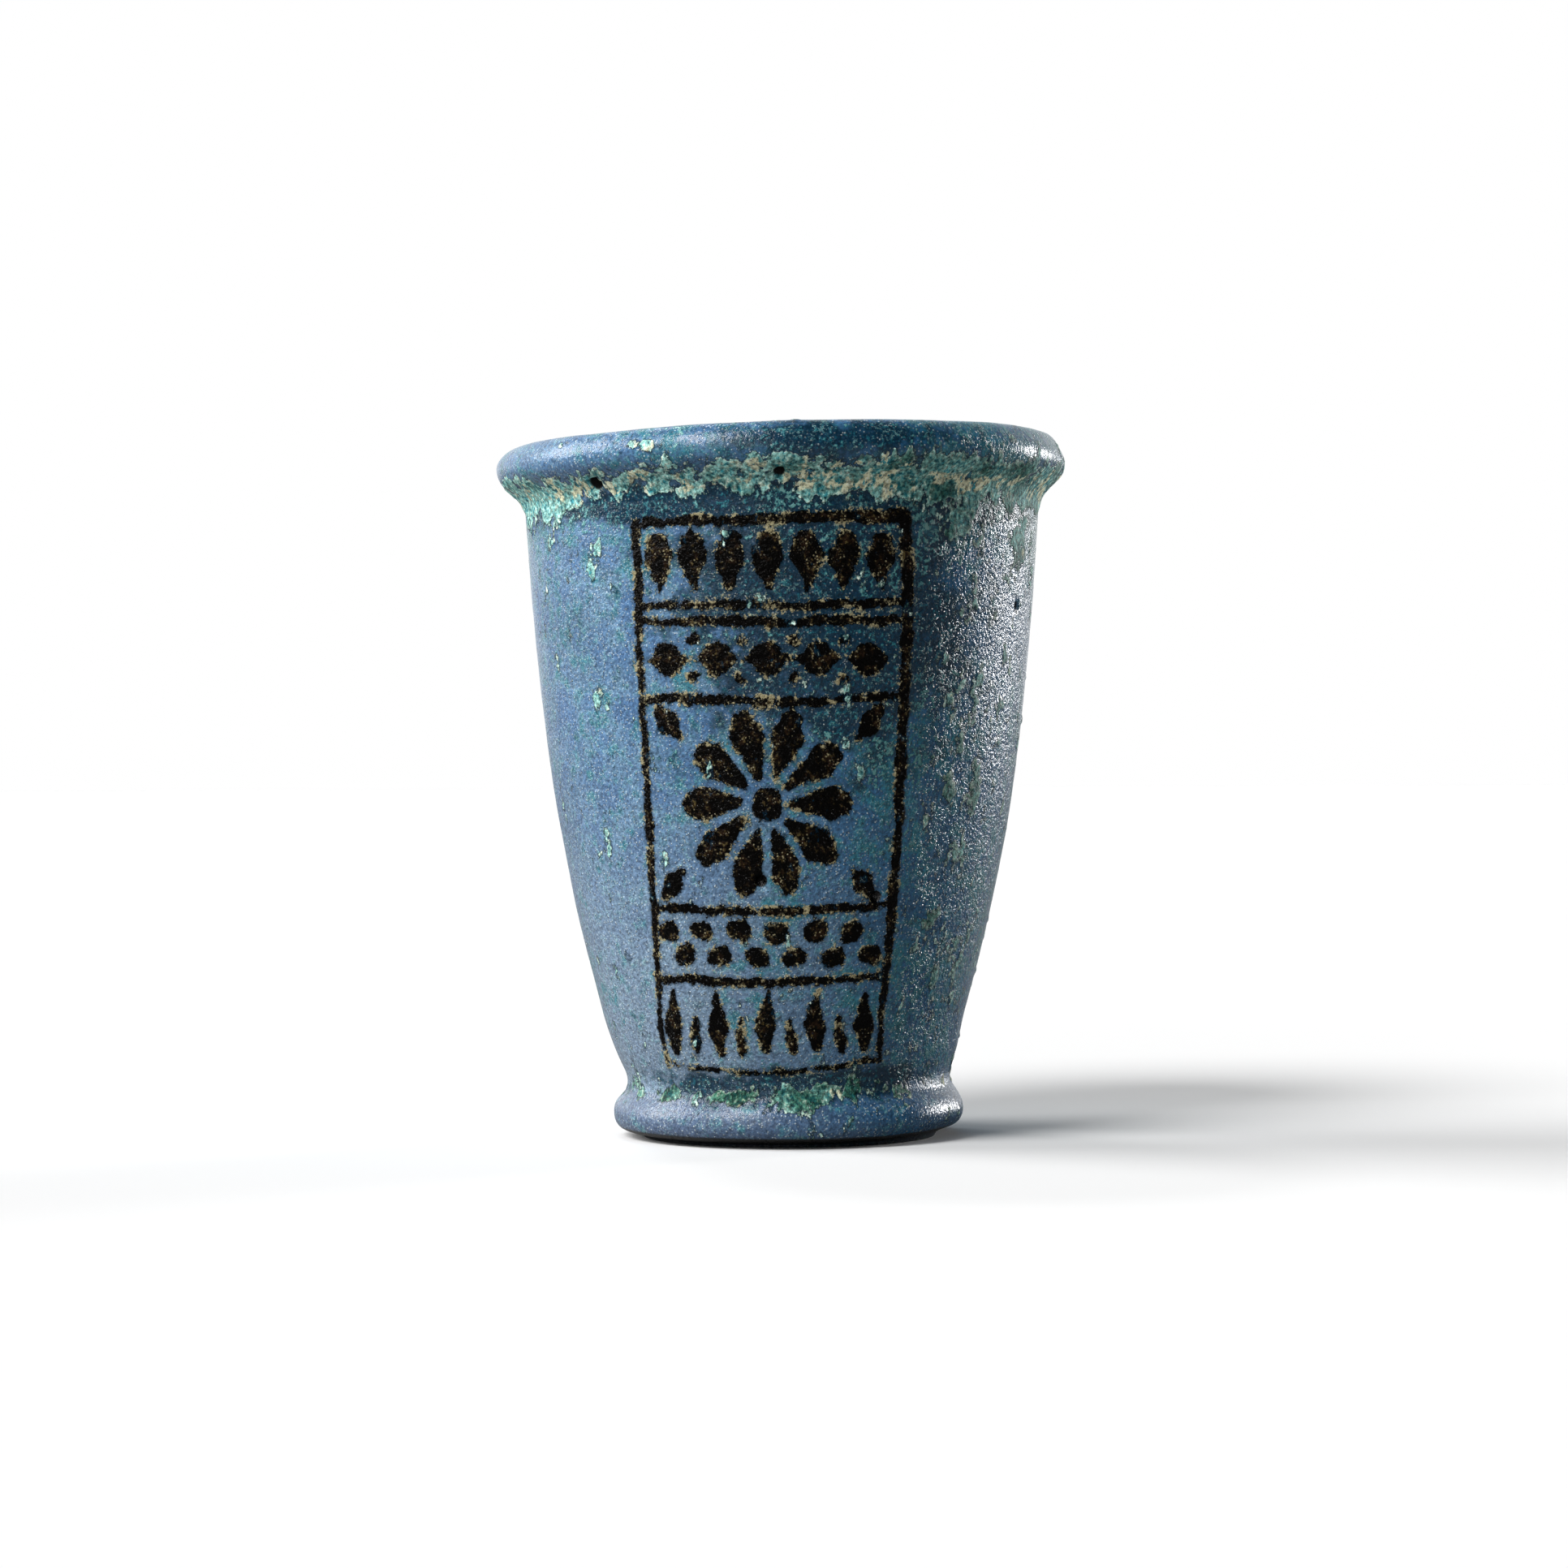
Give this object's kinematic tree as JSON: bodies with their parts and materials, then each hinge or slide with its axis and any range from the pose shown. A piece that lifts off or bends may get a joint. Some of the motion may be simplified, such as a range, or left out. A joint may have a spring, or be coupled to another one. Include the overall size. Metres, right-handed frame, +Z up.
{
  "type": "faience libation cup",
  "caption": "Small hand-built faience beaker with a swelling tapered wall, a rolled everted lip and a low disc foot, used to pour offerings.",
  "frame": {"origin": "on the table, under the middle of the mouth", "axes": "+Z up along the cup's axis, +X towards the high side of its slightly sloping mouth, -Y towards the painted panel"},
  "size_m": [0.0518, 0.0518, 0.0638],
  "materials": {
    "wall_glaze": "satin",
    "rim_glaze": "satin",
    "foot_glaze": "satin",
    "luting_glaze": "satin"
  },
  "bodies": {
    "root": {"foot_disc": "foot_glaze", "foot_luting": "luting_glaze", "vessel_wall": "wall_glaze", "rim_luting": "luting_glaze", "rim_roll": "rim_glaze"}
  },
  "joints": []
}
